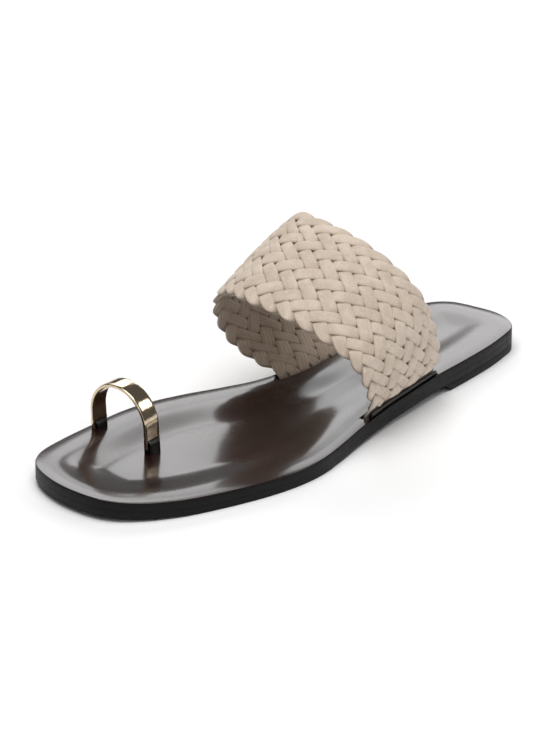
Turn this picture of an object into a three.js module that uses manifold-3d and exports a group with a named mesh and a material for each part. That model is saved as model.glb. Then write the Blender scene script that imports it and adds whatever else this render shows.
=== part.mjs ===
// Slide sandal for the left foot: flat leather sole, wide braided strap over the instep,
// and a metal toe ring held by two small leather loops.
// Millimetres, +Z up. The toe points to -Y, the heel to +Y, the outer side of the foot to +X.
// Origin: on the floor, in the middle of the sole's length and width.

import * as THREE from 'three';
import { mergeVertices } from 'three/addons/utils/BufferGeometryUtils.js';
import Module from 'manifold-3d';

const wasm = await Module();
wasm.setup();

// Sole
const LENGTH = 255;
const BALL_WIDTH = 93.6;
const OUTSOLE_THICK = 3.3;
const FOOTBED_THICK = 3.6;
const HEEL_LIFT = 3.6;
const TOE_SPRING = 3.0;
const SOLE_CHAMFER = 0.5;
const EDGE_ROUND = 0.5;
const OUTLINE_STEPS = 72;
const OUTLINE_DIVISIONS = 800;

// The footbed has a flat rim around a softly moulded hollow.
const RIM_WIDTH = 6.5;
const HOLLOW_SLOPE = 6.0;
const HOLLOW_DEPTH = 1.5;
const SLOPE_SHARES = [1, 0.7, 0.35, 0];

// The heel lift starts at its breast, which slants forward towards the sole.
const BREAST_FROM_TOE = 199;
const BREAST_SLANT = 5;

// Clearances
const SEAM = 0.3;
const SLOT_GAP = 0.45;
const MERGE = 1e-4;

// Slots in the sole's edge, where the strap goes down
const SLOT_FROM_TOE = 138;
const SLOT_LENGTH = 52;
const LIP = 0.9;

// Braided strap
const STRANDS = 16;
const STRAND_THICK = 1.9;
const STRAP_INSET = 1.0;
const STRAP_CROWN = 2.8;
const EDGE_FOLD = 0.45;
const SCALLOP = 0.25;
const FRONT_HOOP = { rise: 50.6, lateral: 10, medial: 16, shift: 9.2, lean: 33.5, tabHeight: 5 };
const BACK_HOOP = { rise: 70, lateral: 11.2, medial: 10.5, shift: 14, lean: 37, tabHeight: 3 };
const HOOP_COUNT = 9;
const HOOP_DIVISIONS = 400;
const NORMAL_REACH = 1;
const BRAID_STEPS = 21;

// Leather tabs that hold the strap's ends
const TAB_THICK = 1.2;
const TAB_GAP = 0.5;

// Toe ring and its leather loops
const RING_FROM_TOE = 53.1;
const RING_ACROSS = -0.27;
const RING_TURN = 7;
const RING_LEAN = 3;
const RING_INNER_RADIUS = 14.35;
const RING_THICK = 1.7;
const RING_BAND = 8.2;
const RING_BEVEL = 0.35;
const RING_LEG = 8.8;
const RING_LIFT = 0.6;
const RING_BAR = 1.2;
const RING_POST = 0.9;
const LOOP_THICK = 1.1;
const LOOP_POCKET = 0.9;
const ARC_STEPS = 20;
const LOOP_STEPS = 8;

// Outline of the sole from the toe tip, along as a share of LENGTH,
// inner and outer edge as shares of half of BALL_WIDTH.
const TIP = { along: 0, x: -0.06 };
const OUTLINE = [
  { along: 0.009, inner: -0.380, outer: 0.290 },
  { along: 0.026, inner: -0.575, outer: 0.475 },
  { along: 0.059, inner: -0.735, outer: 0.635 },
  { along: 0.118, inner: -0.855, outer: 0.795 },
  { along: 0.196, inner: -0.945, outer: 0.908 },
  { along: 0.275, inner: -1.000, outer: 0.983 },
  { along: 0.333, inner: -0.980, outer: 1.000 },
  { along: 0.392, inner: -0.905, outer: 0.966 },
  { along: 0.451, inner: -0.785, outer: 0.868 },
  { along: 0.510, inner: -0.672, outer: 0.754 },
  { along: 0.588, inner: -0.622, outer: 0.628 },
  { along: 0.667, inner: -0.672, outer: 0.526 },
  { along: 0.745, inner: -0.762, outer: 0.421 },
  { along: 0.824, inner: -0.848, outer: 0.335 },
  { along: 0.894, inner: -0.892, outer: 0.245 },
  { along: 0.941, inner: -0.880, outer: 0.160 },
  { along: 0.973, inner: -0.755, outer: 0.080 },
  { along: 0.992, inner: -0.490, outer: -0.050 },
];
const HEEL_TIP = { along: 1, x: -0.26 };

// Side view of the sole: where the toe spring ends and where the heel's rise starts and ends.
const SPRING_END = 0.22;
const RISE_START = 0.36;
const RISE_END = 0.74;

// One half of a hoop of the strap, from the rim up to the top. rise and span are shares of the
// hoop's rise and half width, and the rest of its bulge and its forward lean on each side.
const HOOP = [
  { rise: 0.05, span: 1.00, lateralOut: 0.15, medialOut: 0.17, lateralLean: 0.02, medialLean: 0.05 },
  { rise: 0.12, span: 1.00, lateralOut: 0.42, medialOut: 0.52, lateralLean: 0.06, medialLean: 0.16 },
  { rise: 0.24, span: 1.00, lateralOut: 0.72, medialOut: 0.84, lateralLean: 0.15, medialLean: 0.34 },
  { rise: 0.36, span: 1.00, lateralOut: 0.90, medialOut: 0.96, lateralLean: 0.25, medialLean: 0.48 },
  { rise: 0.48, span: 1.00, lateralOut: 1.00, medialOut: 1.00, lateralLean: 0.35, medialLean: 0.58 },
  { rise: 0.61, span: 0.98, lateralOut: 1.00, medialOut: 1.00, lateralLean: 0.46, medialLean: 0.67 },
  { rise: 0.75, span: 0.88, lateralOut: 1.00, medialOut: 1.00, lateralLean: 0.61, medialLean: 0.76 },
  { rise: 0.865, span: 0.72, lateralOut: 1.00, medialOut: 1.00, lateralLean: 0.76, medialLean: 0.83 },
  { rise: 0.945, span: 0.51, lateralOut: 1.00, medialOut: 1.00, lateralLean: 0.88, medialLean: 0.88 },
  { rise: 0.988, span: 0.26, lateralOut: 1.00, medialOut: 1.00, lateralLean: 0.96, medialLean: 0.96 },
];

// Height of the braid above the middle of its wall, as shares of STRAND_THICK.
const RELIEF = { crown: 1.0, middle: 1.0, groove: 0.55, step: 0.62, pit: 0.30, edge: 0.55 };

const RIM_TOP = OUTSOLE_THICK + SEAM + FOOTBED_THICK;
const STRAP_MID_INSET = LIP + SLOT_GAP + TAB_THICK + TAB_GAP;
const SLOT_DEPTH = STRAP_MID_INSET + STRAND_THICK + SLOT_GAP;
const SIDES = { lateral: 1, medial: -1 };

// The braid's lattice has four steps for each strand's pitch; the first ones lie behind a tab.
const TAB_STEPS = 4;
const LAST_STEP = 4 * BRAID_STEPS;

// Solids and meshes

function toSolid(geometry) {
  const plain = geometry.clone();
  plain.deleteAttribute('normal');
  plain.deleteAttribute('uv');
  const merged = mergeVertices(plain, MERGE);
  const solid = new wasm.Manifold(new wasm.Mesh({
    numProp: 3,
    vertProperties: new Float32Array(merged.attributes.position.array),
    triVerts: new Uint32Array(merged.index.array),
  }));
  return solid;
}

function toGeometry(solid) {
  const mesh = solid.getMesh();
  const geometry = new THREE.BufferGeometry();
  geometry.setAttribute('position', new THREE.BufferAttribute(mesh.vertProperties, 3));
  geometry.setIndex(new THREE.BufferAttribute(mesh.triVerts, 1));
  geometry.computeVertexNormals();
  return geometry;
}

function fromPoints(points, triangles) {
  const geometry = new THREE.BufferGeometry().setFromPoints(points);
  geometry.setIndex(triangles.flat());
  geometry.computeVertexNormals();
  return geometry;
}

function boxBetween(low, high) {
  const size = new THREE.Vector3().subVectors(high, low);
  const centre = new THREE.Vector3().addVectors(low, high).multiplyScalar(0.5);
  return new THREE.BoxGeometry(size.x, size.y, size.z).translate(centre.x, centre.y, centre.z);
}

// Sole outline and profile

function fromToe(distance) {
  return distance - LENGTH / 2;
}

function outlinePoint(along, share) {
  return new THREE.Vector3(share * BALL_WIDTH / 2, fromToe(along * LENGTH), 0);
}

const outlineCurve = new THREE.CatmullRomCurve3([
  outlinePoint(TIP.along, TIP.x),
  ...OUTLINE.map((row) => outlinePoint(row.along, row.outer)),
  outlinePoint(HEEL_TIP.along, HEEL_TIP.x),
  ...OUTLINE.map((row) => outlinePoint(row.along, row.inner)).reverse(),
], true, 'centripetal');
outlineCurve.arcLengthDivisions = OUTLINE_DIVISIONS;

// The closed outline moved inwards by inset: the toe tip first, then the outer side.
function outlineRing(inset) {
  const ring = [];
  for (let step = 0; step < OUTLINE_STEPS; step += 1) {
    const share = step / OUTLINE_STEPS;
    const point = outlineCurve.getPointAt(share);
    const tangent = outlineCurve.getTangentAt(share);
    ring.push(new THREE.Vector3(point.x - tangent.y * inset, point.y + tangent.x * inset, 0));
  }
  return ring;
}

// X of one side of the sole's edge, moved inwards by inset, at a place along Y.
function edgeX(side, y, inset) {
  const ring = outlineRing(inset);
  const half = OUTLINE_STEPS / 2;
  const points = ring.filter((point, step) => (side > 0 ? step <= half : step >= half));
  const ordered = points.sort((first, second) => first.y - second.y);
  const after = ordered.findIndex((point) => point.y > y);
  const [low, high] = [ordered[after - 1], ordered[after]];
  return THREE.MathUtils.mapLinear(y, low.y, high.y, low.x, high.x);
}

// Height of the sole's underside at a place along Y.
function undersideZ(y) {
  const along = THREE.MathUtils.clamp(y / LENGTH + 0.5, 0, 1);
  const spring = TOE_SPRING * Math.max(0, 1 - along / SPRING_END) ** 2;
  return spring + HEEL_LIFT * THREE.MathUtils.smoothstep(along, RISE_START, RISE_END);
}

// A layer of the sole: loops of the outline, each with its inset and its height above the
// underside, joined in order and closed across at both ends. A level loop has a fixed height.
function soleLayer(loops) {
  const points = [];
  for (const { inset, height, level } of loops) {
    for (const point of outlineRing(inset)) {
      const z = level ?? undersideZ(point.y) + height;
      points.push(new THREE.Vector3(point.x, point.y, z));
    }
  }
  const count = OUTLINE_STEPS;
  const triangles = [];
  for (let loop = 0; loop + 1 < loops.length; loop += 1) {
    for (let step = 0; step < count; step += 1) {
      const next = (step + 1) % count;
      const [a, b] = [loop * count + step, loop * count + next];
      triangles.push([a, a + count, b], [b, a + count, b + count]);
    }
  }
  const last = (loops.length - 1) * count;
  for (let step = 0; step < count / 2; step += 1) {
    const far = (count - step) % count;
    const farNext = count - step - 1;
    const ladder = [[step, step + 1, farNext], [step, farNext, far]];
    for (const [a, b, c] of ladder) {
      if (a !== b && b !== c && a !== c) {
        triangles.push([a, b, c], [last + a, last + c, last + b]);
      }
    }
  }
  return toSolid(fromPoints(points, triangles));
}

// A wall that follows the sole's edge between two insets, over the slots' length.
function edgeWall(outerInset, innerInset, spare, low, high) {
  const outer = soleLayer([{ inset: outerInset, height: high }, { inset: outerInset, height: low }]);
  const inner = soleLayer([
    { inset: innerInset, height: high + SEAM },
    { inset: innerInset, height: low - SEAM },
  ]);
  const front = fromToe(SLOT_FROM_TOE) - spare;
  const rear = fromToe(SLOT_FROM_TOE + SLOT_LENGTH) + spare;
  const range = boxBetween(
    new THREE.Vector3(-BALL_WIDTH, front, -LENGTH),
    new THREE.Vector3(BALL_WIDTH, rear, LENGTH),
  );
  return outer.subtract(inner).intersect(toSolid(range));
}

// Outsole: a thin slab with a chamfered lower edge, and a lip outside each slot.
function buildOutsole() {
  const slab = soleLayer([
    { inset: 0, height: OUTSOLE_THICK },
    { inset: 0, height: SOLE_CHAMFER },
    { inset: SOLE_CHAMFER, height: 0 },
  ]);
  const lips = edgeWall(0, LIP, -SEAM, OUTSOLE_THICK / 2, RIM_TOP - EDGE_ROUND);
  return toGeometry(slab.add(lips));
}

function buildHeelLift() {
  const full = soleLayer([
    { inset: 0, level: HEEL_LIFT - SEAM },
    { inset: 0, level: SOLE_CHAMFER },
    { inset: SOLE_CHAMFER, level: 0 },
  ]);
  const reach = BALL_WIDTH;
  const breast = new THREE.Shape([
    new THREE.Vector2(fromToe(BREAST_FROM_TOE), 0),
    new THREE.Vector2(fromToe(BREAST_FROM_TOE - BREAST_SLANT), HEEL_LIFT),
    new THREE.Vector2(LENGTH, HEEL_LIFT),
    new THREE.Vector2(LENGTH, 0),
  ]);
  const keep = new THREE.ExtrudeGeometry(breast, { depth: 2 * reach, bevelEnabled: false });
  const axes = new THREE.Matrix4().makeBasis(
    new THREE.Vector3(0, 1, 0),
    new THREE.Vector3(0, 0, 1),
    new THREE.Vector3(1, 0, 0),
  );
  keep.applyMatrix4(axes).translate(-reach, 0, 0);
  return toGeometry(full.intersect(toSolid(keep)));
}

// Height of the footbed's top above the underside, by the distance from its edge.
function hollowHeight(inset) {
  const share = THREE.MathUtils.smoothstep(inset, RIM_WIDTH, RIM_WIDTH + HOLLOW_SLOPE);
  return RIM_TOP - HOLLOW_DEPTH * share;
}

// Footbed: flat rim, moulded hollow, an open slot at each side, two pockets for the loops.
function buildFootbed(pockets) {
  const slopeInsets = SLOPE_SHARES.map((share) => RIM_WIDTH + share * HOLLOW_SLOPE);
  const body = soleLayer([
    ...slopeInsets.map((inset) => ({ inset, height: hollowHeight(inset) })),
    { inset: EDGE_ROUND, height: RIM_TOP },
    { inset: 0, height: RIM_TOP - EDGE_ROUND },
    { inset: 0, height: OUTSOLE_THICK + SEAM },
  ]);
  const slots = edgeWall(-2 * LIP, SLOT_DEPTH, 0, 0, 2 * RIM_TOP);
  let footbed = body.subtract(slots);
  for (const pocket of pockets) {
    footbed = footbed.subtract(toSolid(pocket));
  }
  return toGeometry(footbed);
}

// Strap

// A hoop of the strap: down in the outer slot, over the foot, down in the inner slot.
// across is 0 at the strap's front edge and 1 at its back edge, and the middle is crowned.
function makeHoop(across) {
  const between = (key) => THREE.MathUtils.lerp(FRONT_HOOP[key], BACK_HOOP[key], across);
  const crown = 4 * STRAP_CROWN * across * (1 - across);
  const run = SLOT_LENGTH - 2 * STRAP_INSET;
  const y = fromToe(SLOT_FROM_TOE + STRAP_INSET + across * run);
  const rim = undersideZ(y) + RIM_TOP;
  const low = undersideZ(y) + OUTSOLE_THICK + SEAM;
  const outer = edgeX(SIDES.lateral, y, STRAP_MID_INSET);
  const inner = edgeX(SIDES.medial, y, STRAP_MID_INSET);
  const middle = (outer + inner) / 2;
  const half = (outer - inner) / 2;
  const rise = between('rise') + crown;
  const [lean, shift] = [between('lean'), between('shift')];
  const sidePoints = (name) => {
    const side = SIDES[name];
    const bulge = between(name) + crown;
    const legHeights = [low, (low + rim) / 2, rim];
    const leg = legHeights.map((z) => new THREE.Vector3(middle + side * half, y, z));
    const rising = HOOP.map((row) => new THREE.Vector3(
      middle + side * row.span * (half + row[`${name}Out`] * bulge) - (1 - row.span) * shift,
      y - row[`${name}Lean`] * lean,
      rim + row.rise * rise,
    ));
    return [...leg, ...rising];
  };
  const top = new THREE.Vector3(middle - shift, y - lean, rim + rise);
  const points = [...sidePoints('lateral'), top, ...sidePoints('medial').reverse()];
  const curve = new THREE.CatmullRomCurve3(points, false, 'centripetal');
  curve.arcLengthDivisions = HOOP_DIVISIONS;
  return { curve, length: curve.getLength(), cut: FOOTBED_THICK + between('tabHeight') };
}

const hoops = Array.from({ length: HOOP_COUNT }, (_, k) => makeHoop(k / (HOOP_COUNT - 1)));

// A point on the middle of the strap's wall. distanceOn gives the distance along a hoop.
function bandPoint(distanceOn, across) {
  const place = THREE.MathUtils.clamp(across, 0, 1) * (HOOP_COUNT - 1);
  const first = Math.min(Math.floor(place), HOOP_COUNT - 2);
  const [low, high] = [hoops[first], hoops[first + 1]].map((hoop) => {
    const share = THREE.MathUtils.clamp(distanceOn(hoop) / hoop.length, 0, 1);
    return hoop.curve.getPointAt(share);
  });
  return low.lerp(high, place - first);
}

// The same point moved off the wall's middle, outwards where offset is positive.
function bandOffset(distanceOn, across, offset) {
  const ahead = bandPoint((hoop) => distanceOn(hoop) + NORMAL_REACH, across);
  const behind = bandPoint((hoop) => distanceOn(hoop) - NORMAL_REACH, across);
  const forward = bandPoint(distanceOn, across - 1 / HOOP_COUNT);
  const rearward = bandPoint(distanceOn, across + 1 / HOOP_COUNT);
  const normal = rearward.sub(forward).cross(ahead.sub(behind)).normalize();
  return bandPoint(distanceOn, across).addScaledVector(normal, offset);
}

// Distance along a hoop for a step of the braid.
function stepDistance(step, { length, cut }) {
  if (step <= TAB_STEPS) {
    return cut * step / TAB_STEPS;
  }
  if (step >= LAST_STEP - TAB_STEPS) {
    return length - cut * (LAST_STEP - step) / TAB_STEPS;
  }
  return THREE.MathUtils.mapLinear(step, TAB_STEPS, LAST_STEP - TAB_STEPS, cut, length - cut);
}

// The braid's outer face is pared flat behind a tab and just past it.
function isSkived(step) {
  return step <= TAB_STEPS + 1 || step >= LAST_STEP - TAB_STEPS - 1;
}

// The braid is a two over two twill of strands at 45 degrees. One family of strands runs
// along row, the other along column; where the first lies on top repeats every four cells.
function firstOnTop(column, row) {
  const shift = column - row;
  return ((shift % 4) + 4) % 4 < 2;
}

// Relief at a corner, side or centre of the strands' crossings, on one face of the strap.
function reliefAt(column, row, face) {
  const isTop = (c, r) => firstOnTop(c, r) === (face > 0);
  const [oddColumn, oddRow] = [Math.abs(column % 2) === 1, Math.abs(row % 2) === 1];
  const [c, r] = [Math.floor(column / 2), Math.floor(row / 2)];
  if (oddColumn && oddRow) {
    return RELIEF.crown;
  }
  if (!oddColumn && !oddRow) {
    return RELIEF.pit;
  }
  const here = isTop(c, r);
  const before = oddRow ? isTop(c - 1, r) : isTop(c, r - 1);
  if (here !== before) {
    return RELIEF.step;
  }
  return here === oddRow ? RELIEF.middle : RELIEF.groove;
}

// Share across the band for a lattice line; the outermost two round off as scallops.
function acrossShare(line) {
  const size = Math.abs(line);
  const rounded = size === STRANDS - 1 ? size + SCALLOP : size;
  return 0.5 + Math.sign(line) * rounded / (2 * STRANDS);
}

// Braided strap: one wall with its strands raised on both faces. Its lattice has a step for
// each quarter of a strand's pitch along the band, and a line for each across it.
function buildStrap() {
  const points = [];
  const indexOf = new Map();
  const isCorner = (step, line) => Math.abs(line) < STRANDS || step % 4 === 2
    || (isSkived(step) && step % 2 === 0);
  const place = (step, line, face) => {
    const onEdge = Math.abs(line) >= STRANDS - 1;
    const relief = onEdge ? RELIEF.edge : reliefAt((step + line) / 2, (step - line) / 2, face);
    const offset = face > 0 && isSkived(step) ? 0 : face * relief * STRAND_THICK;
    return bandOffset((hoop) => stepDistance(step, hoop), acrossShare(line), offset);
  };
  const vertex = (step, line, face) => {
    const key = `${step} ${line} ${face}`;
    if (!indexOf.has(key)) {
      indexOf.set(key, points.length);
      points.push(place(step, line, face));
    }
    return indexOf.get(key);
  };
  const inside = (step, line) => step >= 0 && step <= LAST_STEP
    && Math.abs(line) <= STRANDS && isCorner(step, line);
  const triangles = [];
  const edgeUse = new Map();
  const addTriangle = (corners) => {
    const outer = corners.map(([step, line]) => vertex(step, line, 1));
    const inner = corners.map(([step, line]) => vertex(step, line, -1));
    triangles.push(outer, inner.reverse());
    corners.forEach((corner, side) => {
      const next = corners[(side + 1) % 3];
      const back = `${next} ${corner}`;
      if (edgeUse.has(back)) {
        edgeUse.delete(back);
      } else {
        edgeUse.set(`${corner} ${next}`, [corner, next]);
      }
    });
  };
  for (let step = 0; step <= LAST_STEP; step += 1) {
    for (let line = -STRANDS; line <= STRANDS; line += 1) {
      if ((step + line) % 2 !== 0) {
        const [west, north] = [[step - 1, line], [step, line + 1]];
        const [east, south] = [[step + 1, line], [step, line - 1]];
        const corners = [west, north, east, south].filter(([s, l]) => inside(s, l));
        if (corners.length === 3) {
          addTriangle(corners);
        } else if (corners.length === 4) {
          if (isSkived(step) || step % 2 === 1) {
            addTriangle([west, north, south]);
            addTriangle([north, east, south]);
          } else {
            addTriangle([west, north, east]);
            addTriangle([west, east, south]);
          }
        }
      }
    }
  }
  const fold = new Map();
  const foldVertex = ([step, line]) => {
    const key = `${step} ${line}`;
    if (!fold.has(key)) {
      const outer = points[vertex(step, line, 1)];
      const inner = points[vertex(step, line, -1)];
      const middle = outer.clone().lerp(inner, 0.5);
      const neighbour = points[vertex(step, Math.sign(line) * (Math.abs(line) - 2), -1)];
      const out = inner.clone().sub(neighbour).normalize();
      const isSide = Math.abs(line) >= STRANDS - 1 && step > 0 && step < LAST_STEP;
      fold.set(key, points.push(middle.addScaledVector(out, isSide ? EDGE_FOLD : 0)) - 1);
    }
    return fold.get(key);
  };
  for (const [from, to] of edgeUse.values()) {
    const [outerFrom, outerTo] = [vertex(...from, 1), vertex(...to, 1)];
    const [innerFrom, innerTo] = [vertex(...from, -1), vertex(...to, -1)];
    const [foldFrom, foldTo] = [foldVertex(from), foldVertex(to)];
    triangles.push([outerTo, outerFrom, foldFrom], [outerTo, foldFrom, foldTo]);
    triangles.push([foldTo, foldFrom, innerFrom], [foldTo, innerFrom, innerTo]);
  }
  return fromPoints(points, triangles);
}

// Leather tab outside one end of the strap, from the outsole up to the braid's skived step.
function buildTab(side) {
  const points = [];
  const distance = (row, hoop) => {
    const fromEnd = Math.min(stepDistance(row, hoop), hoop.cut - SEAM);
    return side > 0 ? fromEnd : hoop.length - fromEnd;
  };
  const faces = [TAB_GAP, TAB_GAP + TAB_THICK];
  for (const offset of faces) {
    for (let row = 0; row <= TAB_STEPS; row += 1) {
      for (let column = 0; column <= STRANDS; column += 1) {
        const distanceOn = (hoop) => distance(row, hoop);
        points.push(bandOffset(distanceOn, column / STRANDS, offset));
      }
    }
  }
  const width = STRANDS + 1;
  const face = width * (TAB_STEPS + 1);
  const at = (layer, row, column) => layer * face + row * width + column;
  const triangles = [];
  const quad = (a, b, c, d) => {
    triangles.push(side > 0 ? [a, b, c] : [c, b, a], side > 0 ? [a, c, d] : [d, c, a]);
  };
  for (let row = 0; row < TAB_STEPS; row += 1) {
    for (let column = 0; column < STRANDS; column += 1) {
      const [r, c] = [row + 1, column + 1];
      quad(at(1, row, column), at(1, row, c), at(1, r, c), at(1, r, column));
      quad(at(0, row, column), at(0, r, column), at(0, r, c), at(0, row, c));
    }
    quad(at(0, row, 0), at(1, row, 0), at(1, row + 1, 0), at(0, row + 1, 0));
    const end = STRANDS;
    quad(at(1, row, end), at(0, row, end), at(0, row + 1, end), at(1, row + 1, end));
  }
  for (let column = 0; column < STRANDS; column += 1) {
    const top = TAB_STEPS;
    quad(at(0, 0, column), at(0, 0, column + 1), at(1, 0, column + 1), at(1, 0, column));
    quad(at(1, top, column), at(1, top, column + 1), at(0, top, column + 1), at(0, top, column));
  }
  return fromPoints(points, triangles);
}

// Toe ring, drawn in its own frame: X from foot to foot, Y across the band, Z up.

const RING_MID_RADIUS = RING_INNER_RADIUS + RING_THICK / 2;
const WINDOW_WIDTH = RING_BAND - 2 * RING_POST;
const LOOP_WIDTH = WINDOW_WIDTH - 2 * SEAM;
const LOOP_INNER_HALF = RING_THICK / 2 + SEAM;
const LOOP_OUTER_HALF = LOOP_INNER_HALF + LOOP_THICK;
const LOOP_CENTRE = RING_LIFT + RING_BAR;
const POCKET_FLOOR = -HOLLOW_DEPTH - LOOP_POCKET;

function standUp(geometry, depth) {
  return geometry.rotateX(Math.PI / 2).translate(0, depth / 2, 0);
}

function buildRing() {
  const bevel = RING_BEVEL;
  const outer = RING_INNER_RADIUS + RING_THICK - bevel;
  const inner = RING_INNER_RADIUS + bevel;
  const [foot, spring] = [RING_LIFT + bevel, RING_LIFT + RING_LEG];
  const arch = new THREE.Shape();
  arch.moveTo(outer, foot);
  arch.absarc(0, spring, outer, 0, Math.PI, false);
  arch.lineTo(-outer, foot);
  arch.lineTo(-inner, foot);
  arch.absarc(0, spring, inner, Math.PI, 0, true);
  arch.lineTo(inner, foot);
  const band = new THREE.ExtrudeGeometry(arch, {
    depth: RING_BAND - 2 * bevel,
    bevelThickness: bevel,
    bevelSize: bevel,
    bevelSegments: 1,
    curveSegments: ARC_STEPS,
  });
  standUp(band, RING_BAND - 2 * bevel);
  const sill = RING_LIFT + RING_BAR;
  const windows = boxBetween(
    new THREE.Vector3(-2 * RING_MID_RADIUS, -WINDOW_WIDTH / 2, sill),
    new THREE.Vector3(2 * RING_MID_RADIUS, WINDOW_WIDTH / 2, LOOP_CENTRE + LOOP_OUTER_HALF + SEAM),
  );
  return toGeometry(toSolid(band).subtract(toSolid(windows)));
}

// A leather loop over the bar at one foot of the ring, with both ends in the footbed.
function archShape(innerHalf, outerHalf, low, centre) {
  const shape = new THREE.Shape();
  shape.moveTo(outerHalf, low);
  shape.absarc(0, centre, outerHalf, 0, Math.PI, false);
  shape.lineTo(-outerHalf, low);
  shape.lineTo(-innerHalf, low);
  shape.absarc(0, centre, innerHalf, Math.PI, 0, true);
  shape.lineTo(innerHalf, low);
  return shape;
}

function buildLoop(side) {
  const shape = archShape(LOOP_INNER_HALF, LOOP_OUTER_HALF, POCKET_FLOOR + SEAM, LOOP_CENTRE);
  const loop = new THREE.ExtrudeGeometry(shape, {
    depth: LOOP_WIDTH,
    bevelEnabled: false,
    curveSegments: LOOP_STEPS,
  });
  standUp(loop, LOOP_WIDTH);
  return loop.translate(side * RING_MID_RADIUS, 0, 0);
}

function pocketFor(side) {
  const half = LOOP_OUTER_HALF + SEAM;
  const centre = side * RING_MID_RADIUS;
  return boxBetween(
    new THREE.Vector3(centre - half, -LOOP_WIDTH / 2 - SEAM, POCKET_FLOOR),
    new THREE.Vector3(centre + half, LOOP_WIDTH / 2 + SEAM, RIM_TOP),
  );
}

// Scene graph

function leather(colour, roughness) {
  return new THREE.MeshStandardMaterial({ color: colour, roughness, metalness: 0 });
}

const soleBlack = leather(0x1c1917, 0.55);
const footbedBrown = leather(0x3a2a24, 0.25);
const strandCream = leather(0xcdbfae, 0.8);
const tabBrown = leather(0x33261f, 0.5);
const loopBlack = leather(0x120f0e, 0.5);
const gold = new THREE.MeshStandardMaterial({ color: 0xb59a6a, roughness: 0.2, metalness: 1 });

function named(name, geometry, material) {
  const mesh = new THREE.Mesh(geometry, material);
  mesh.name = name;
  return mesh;
}

const toeRing = new THREE.Group();
const ringY = fromToe(RING_FROM_TOE);
toeRing.position.set(RING_ACROSS * BALL_WIDTH, ringY, undersideZ(ringY) + RIM_TOP);
toeRing.rotation.set(
  THREE.MathUtils.degToRad(RING_LEAN),
  0,
  THREE.MathUtils.degToRad(RING_TURN),
  'ZYX',
);
toeRing.updateMatrix();
toeRing.add(named('toe_ring', buildRing(), gold));
for (const [name, side] of Object.entries(SIDES)) {
  toeRing.add(named(`toe_loop_${name}`, buildLoop(side), loopBlack));
}

const pockets = Object.values(SIDES).map((side) => pocketFor(side).applyMatrix4(toeRing.matrix));

const sandal = new THREE.Group();
sandal.add(named('outsole', buildOutsole(), soleBlack));
sandal.add(named('heel_lift', buildHeelLift(), soleBlack));
sandal.add(named('footbed', buildFootbed(pockets), footbedBrown));
sandal.add(named('strap', buildStrap(), strandCream));
for (const [name, side] of Object.entries(SIDES)) {
  sandal.add(named(`strap_tab_${name}`, buildTab(side), tabBrown));
}
sandal.add(toeRing);

export default sandal;
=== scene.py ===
# %% [markdown]
# # A slide sandal with a braided strap
#
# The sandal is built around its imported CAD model, which stands on the floor with the toe
# towards -Y, the heel towards +Y and the outer side of the foot towards +X. Every new piece
# below is a surface worked out with numpy from a few named sizes in metres, and it takes the
# place of the plainer CAD solid of the same piece.

# %% Load the frame
import math

import bpy
import bmesh
import numpy as np
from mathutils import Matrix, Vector


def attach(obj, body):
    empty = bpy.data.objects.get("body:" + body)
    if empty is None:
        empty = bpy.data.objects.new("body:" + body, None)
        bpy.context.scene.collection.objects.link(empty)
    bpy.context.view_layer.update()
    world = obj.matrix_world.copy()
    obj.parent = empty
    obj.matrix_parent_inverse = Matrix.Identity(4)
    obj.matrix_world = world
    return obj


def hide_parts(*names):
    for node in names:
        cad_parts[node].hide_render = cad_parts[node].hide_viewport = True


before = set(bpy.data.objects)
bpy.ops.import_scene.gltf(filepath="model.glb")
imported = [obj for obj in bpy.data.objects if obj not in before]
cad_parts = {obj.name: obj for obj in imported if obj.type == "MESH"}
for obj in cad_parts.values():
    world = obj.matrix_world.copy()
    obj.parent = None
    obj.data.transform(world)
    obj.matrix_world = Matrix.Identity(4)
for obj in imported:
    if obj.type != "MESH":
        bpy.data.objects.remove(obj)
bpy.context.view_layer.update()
MM = 0.001
print("CAD nodes:", ", ".join(sorted(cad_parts)))

# %% [markdown]
# ## Sizes
#
# The sizes are those of the CAD solids, so that each surface lies where its solid lies. Only
# the hollow of the footbed is formed more freely here. The outline is a table from the toe tip
# back: how far along the sole, and how far out its inner and outer edges are as shares of half
# the width at the ball.

# %% Sizes of the sole
LENGTH, BALL_WIDTH = 255 * MM, 93.6 * MM
OUTSOLE_THICK, FOOTBED_THICK, SEAM = 3.3 * MM, 3.6 * MM, 0.3 * MM
HEEL_LIFT, TOE_SPRING = 3.6 * MM, 3.0 * MM
RIM_TOP = OUTSOLE_THICK + SEAM + FOOTBED_THICK
TOE_HOLLOW = {"rim": 8.0 * MM, "slope": 23.0 * MM, "depth": 2.6 * MM}
HEEL_HOLLOW = {"rim": 10.0 * MM, "slope": 14.0 * MM, "depth": 0.8 * MM}
HOLLOW_CHANGE = (0.3, 0.75)  # shares of the length between which one becomes the other
BREAST_FROM_TOE, BREAST_SLANT = 199 * MM, 5 * MM
SPRING_END, RISE_START, RISE_END = 0.22, 0.36, 0.74  # shares of the length
OUTLINE = np.array([
    # along, inner, outer
    (0.009, -0.380, 0.290), (0.026, -0.575, 0.475), (0.059, -0.735, 0.635),
    (0.118, -0.855, 0.795), (0.196, -0.945, 0.908), (0.275, -1.000, 0.983),
    (0.333, -0.980, 1.000), (0.392, -0.905, 0.966), (0.451, -0.785, 0.868),
    (0.510, -0.672, 0.754), (0.588, -0.622, 0.628), (0.667, -0.672, 0.526),
    (0.745, -0.762, 0.421), (0.824, -0.848, 0.335), (0.894, -0.892, 0.245),
    (0.941, -0.880, 0.160), (0.973, -0.755, 0.080), (0.992, -0.490, -0.050),
])
TOE_TIP, HEEL_TIP = (0.0, -0.06), (1.0, -0.26)

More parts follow.
